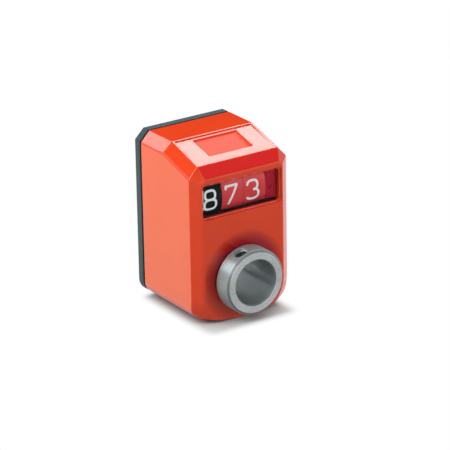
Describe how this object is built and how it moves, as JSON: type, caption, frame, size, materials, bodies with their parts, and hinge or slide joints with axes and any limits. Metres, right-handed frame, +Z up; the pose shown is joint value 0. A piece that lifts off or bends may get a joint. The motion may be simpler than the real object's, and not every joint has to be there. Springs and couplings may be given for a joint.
{
  "type": "mechanical position indicator",
  "caption": "Compact mechanical position indicator: plastic case with sloped top, windowed number-wheel counter and a hollow steel spindle with a set screw.",
  "frame": {"origin": "on the spindle axis, in the plane of the rear face", "axes": "+Y out of the rear face along the spindle, the front looks along -Y, +Z up, +X to the right in front view"},
  "size_m": [0.0248, 0.0309, 0.0385],
  "materials": {
    "orange_plastic": "glossy moulded polymer",
    "clear_plastic": "clear moulded window",
    "slate_plastic": "fine-grained moulded polymer",
    "black_rubber": "matt rubber",
    "red_plastic": "satin moulded polymer",
    "black_plastic": "satin moulded polymer",
    "ivory_plastic": "natural gear polymer",
    "plain_steel": "drawn or stamped steel",
    "turned_steel": "turned stainless steel"
  },
  "bodies": {
    "housing": {"front_case": "orange_plastic", "window_pane": "clear_plastic", "rear_base": "slate_plastic", "rear_gasket": "black_rubber", "front_seal": "black_rubber", "counter_frame": "red_plastic", "counter_axle": "plain_steel", "axle_clips": "plain_steel", "tens_carrier": "plain_steel", "hundreds_carrier": "plain_steel", "tens_pinion_pin": "plain_steel", "hundreds_pinion_pin": "plain_steel", "cluster_pin": "plain_steel", "idler_pin": "plain_steel"},
    "spindle": {"drive_bush": "turned_steel", "grub_screw": "plain_steel", "crown_gear": "ivory_plastic", "retaining_ring": "plain_steel"},
    "cluster": {"cluster_gear": "ivory_plastic"},
    "idler": {"idler_gear": "ivory_plastic"},
    "units": {"units_wheel": "red_plastic", "units_drive_gear": "ivory_plastic"},
    "tens": {"tens_wheel": "red_plastic"},
    "hundreds": {"hundreds_wheel": "black_plastic"},
    "tens_carry": {"tens_carry_pinion": "ivory_plastic"},
    "hundreds_carry": {"hundreds_carry_pinion": "ivory_plastic"}
  },
  "joints": [
    {"name": "spindle_turn", "type": "hinge", "parent": "housing", "child": "spindle", "pos_m": [0, 0, 0], "axis": [0, 1, 0], "continuous": true},
    {"name": "cluster_turn", "type": "hinge", "parent": "housing", "child": "cluster", "pos_m": [0.0075, -0.0115, 0], "axis": [1, 0, 0], "continuous": true},
    {"name": "idler_turn", "type": "hinge", "parent": "housing", "child": "idler", "pos_m": [0.0082, -0.0136, 0.0072], "axis": [1, 0, 0], "continuous": true},
    {"name": "units_turn", "type": "hinge", "parent": "housing", "child": "units", "pos_m": [0.0046, -0.0115, 0.01825], "axis": [1, 0, 0], "continuous": true},
    {"name": "tens_turn", "type": "hinge", "parent": "housing", "child": "tens", "pos_m": [-0.001, -0.0115, 0.01825], "axis": [1, 0, 0], "continuous": true},
    {"name": "hundreds_turn", "type": "hinge", "parent": "housing", "child": "hundreds", "pos_m": [-0.0066, -0.0115, 0.01825], "axis": [1, 0, 0], "continuous": true},
    {"name": "tens_carry_turn", "type": "hinge", "parent": "housing", "child": "tens_carry", "pos_m": [0.001, -0.00701, 0.01825], "axis": [1, 0, 0], "continuous": true},
    {"name": "hundreds_carry_turn", "type": "hinge", "parent": "housing", "child": "hundreds_carry", "pos_m": [-0.0046, -0.00701, 0.01825], "axis": [1, 0, 0], "continuous": true}
  ],
  "couplings": [
    {"joint": "cluster_turn", "follows": "spindle_turn", "ratio": -2.5},
    {"joint": "idler_turn", "follows": "spindle_turn", "ratio": 1.25},
    {"joint": "units_turn", "follows": "spindle_turn", "ratio": -1},
    {"joint": "tens_turn", "follows": "spindle_turn", "ratio": -0.1},
    {"joint": "hundreds_turn", "follows": "spindle_turn", "ratio": -0.01},
    {"joint": "tens_carry_turn", "follows": "spindle_turn", "ratio": -0.33333},
    {"joint": "hundreds_carry_turn", "follows": "spindle_turn", "ratio": -0.033333}
  ]
}
